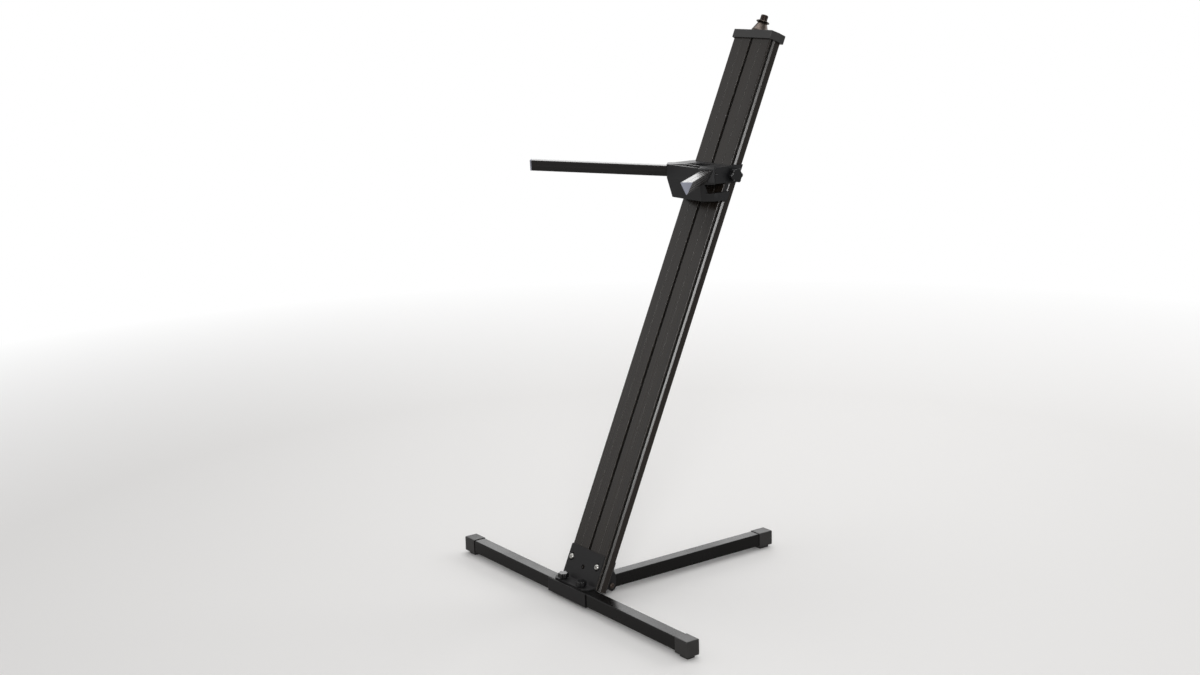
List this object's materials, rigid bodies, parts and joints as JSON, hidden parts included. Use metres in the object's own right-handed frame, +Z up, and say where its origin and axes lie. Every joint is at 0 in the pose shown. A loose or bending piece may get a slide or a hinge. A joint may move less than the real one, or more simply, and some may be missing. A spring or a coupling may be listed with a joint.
{
  "type": "column keyboard stand",
  "caption": "Leaning column keyboard stand: a slotted column on a T-shaped base with a folding rear leg, and a sliding clamp with splayed triangular arms under a microphone stud.",
  "frame": {"origin": "middle of the footprint, on the floor", "axes": "+X to the player's right, +Y away from the player, +Z up"},
  "size_m": [0.802, 0.5626, 1.1843],
  "materials": {
    "anodised": "black anodised, brushed lengthwise",
    "black_tube": "satin black powder coat",
    "black_plate": "matt black powder coat",
    "grey_plastic": "moulded dark grey",
    "black_plastic": "gloss black knobs",
    "yoke_plastic": "moulded black, fine grain",
    "pale_plastic": "moulded pale grey",
    "bright_steel": "bright zinc plated",
    "dark_steel": "blackened steel",
    "brass": "plain",
    "nylon": "natural nylon"
  },
  "bodies": {
    "stand": {"column": "anodised", "column_bottom_plugs": "grey_plastic", "column_top_cap": "grey_plastic", "mic_mount_cone": "dark_steel", "mic_mount_stud": "dark_steel", "mic_mount_screws": "bright_steel", "crossbar_tube": "black_tube", "crossbar_end_cap_left": "grey_plastic", "crossbar_end_cap_right": "grey_plastic", "crossbar_channel": "black_plate", "crossbar_bolts": "bright_steel", "base_bracket": "black_plate", "base_bracket_bolts": "bright_steel", "base_bracket_nuts": "bright_steel", "rear_leg_bracket": "black_plate", "rear_leg_pivot_bolt": "bright_steel", "rear_leg_pivot_nut": "bright_steel"},
    "rear_leg": {"rear_leg_tube": "black_tube", "rear_leg_end_cap": "grey_plastic", "rear_leg_bushing": "bright_steel"},
    "tier": {"clamp_yoke": "yoke_plastic", "clamp_inserts": "brass", "clamp_pads": "nylon", "arm_set_screws": "bright_steel"},
    "knob_left": {"clamp_knob_left": "black_plastic", "clamp_screw_left": "bright_steel"},
    "knob_right": {"clamp_knob_right": "black_plastic", "clamp_screw_right": "bright_steel"},
    "left_arm": {"arm_left": "anodised", "arm_tip_cap_left": "pale_plastic", "arm_root_plug_left": "grey_plastic"},
    "right_arm": {"arm_right": "anodised", "arm_tip_cap_right": "pale_plastic", "arm_root_plug_right": "grey_plastic"},
    "foot_knob_left": {"base_knob_left": "black_plastic"},
    "foot_knob_right": {"base_knob_right": "black_plastic"},
    "lock_washer": {"mic_lock_washer": "dark_steel"}
  },
  "joints": [
    {"name": "rear_leg_fold", "type": "hinge", "parent": "stand", "child": "rear_leg", "pos_m": [0, -0.17699, 0.016], "axis": [1, 0, 0], "range_deg": [0, 66.2]},
    {"name": "tier_height", "type": "slide", "parent": "stand", "child": "tier", "axis": [0, 0.4035, 0.915], "range_m": [-0.74, 0.25]},
    {"name": "left_arm_pull", "type": "slide", "parent": "tier", "child": "left_arm", "axis": [-0.6824, -0.7292, 0.0506], "range_m": [0, 0.036]},
    {"name": "right_arm_pull", "type": "slide", "parent": "tier", "child": "right_arm", "axis": [0.6824, -0.7292, 0.0506], "range_m": [0, 0.036]},
    {"name": "clamp_knob_left_turn", "type": "hinge", "parent": "tier", "child": "knob_left", "pos_m": [-0.0585, 0.12419, 0.86218], "axis": [-1, 0, 0], "continuous": true},
    {"name": "clamp_knob_right_turn", "type": "hinge", "parent": "tier", "child": "knob_right", "pos_m": [0.0585, 0.12419, 0.86218], "axis": [1, 0, 0], "continuous": true},
    {"name": "base_knob_left_turn", "type": "hinge", "parent": "stand", "child": "foot_knob_left", "pos_m": [-0.032, -0.26549, 0.045], "axis": [0, 0, 1], "continuous": true},
    {"name": "base_knob_right_turn", "type": "hinge", "parent": "stand", "child": "foot_knob_right", "pos_m": [0.032, -0.26549, 0.045], "axis": [0, 0, 1], "continuous": true},
    {"name": "lock_washer_turn", "type": "hinge", "parent": "stand", "child": "lock_washer", "pos_m": [0, 0.26803, 1.16848], "axis": [0, 0.4035, 0.915], "continuous": true}
  ]
}
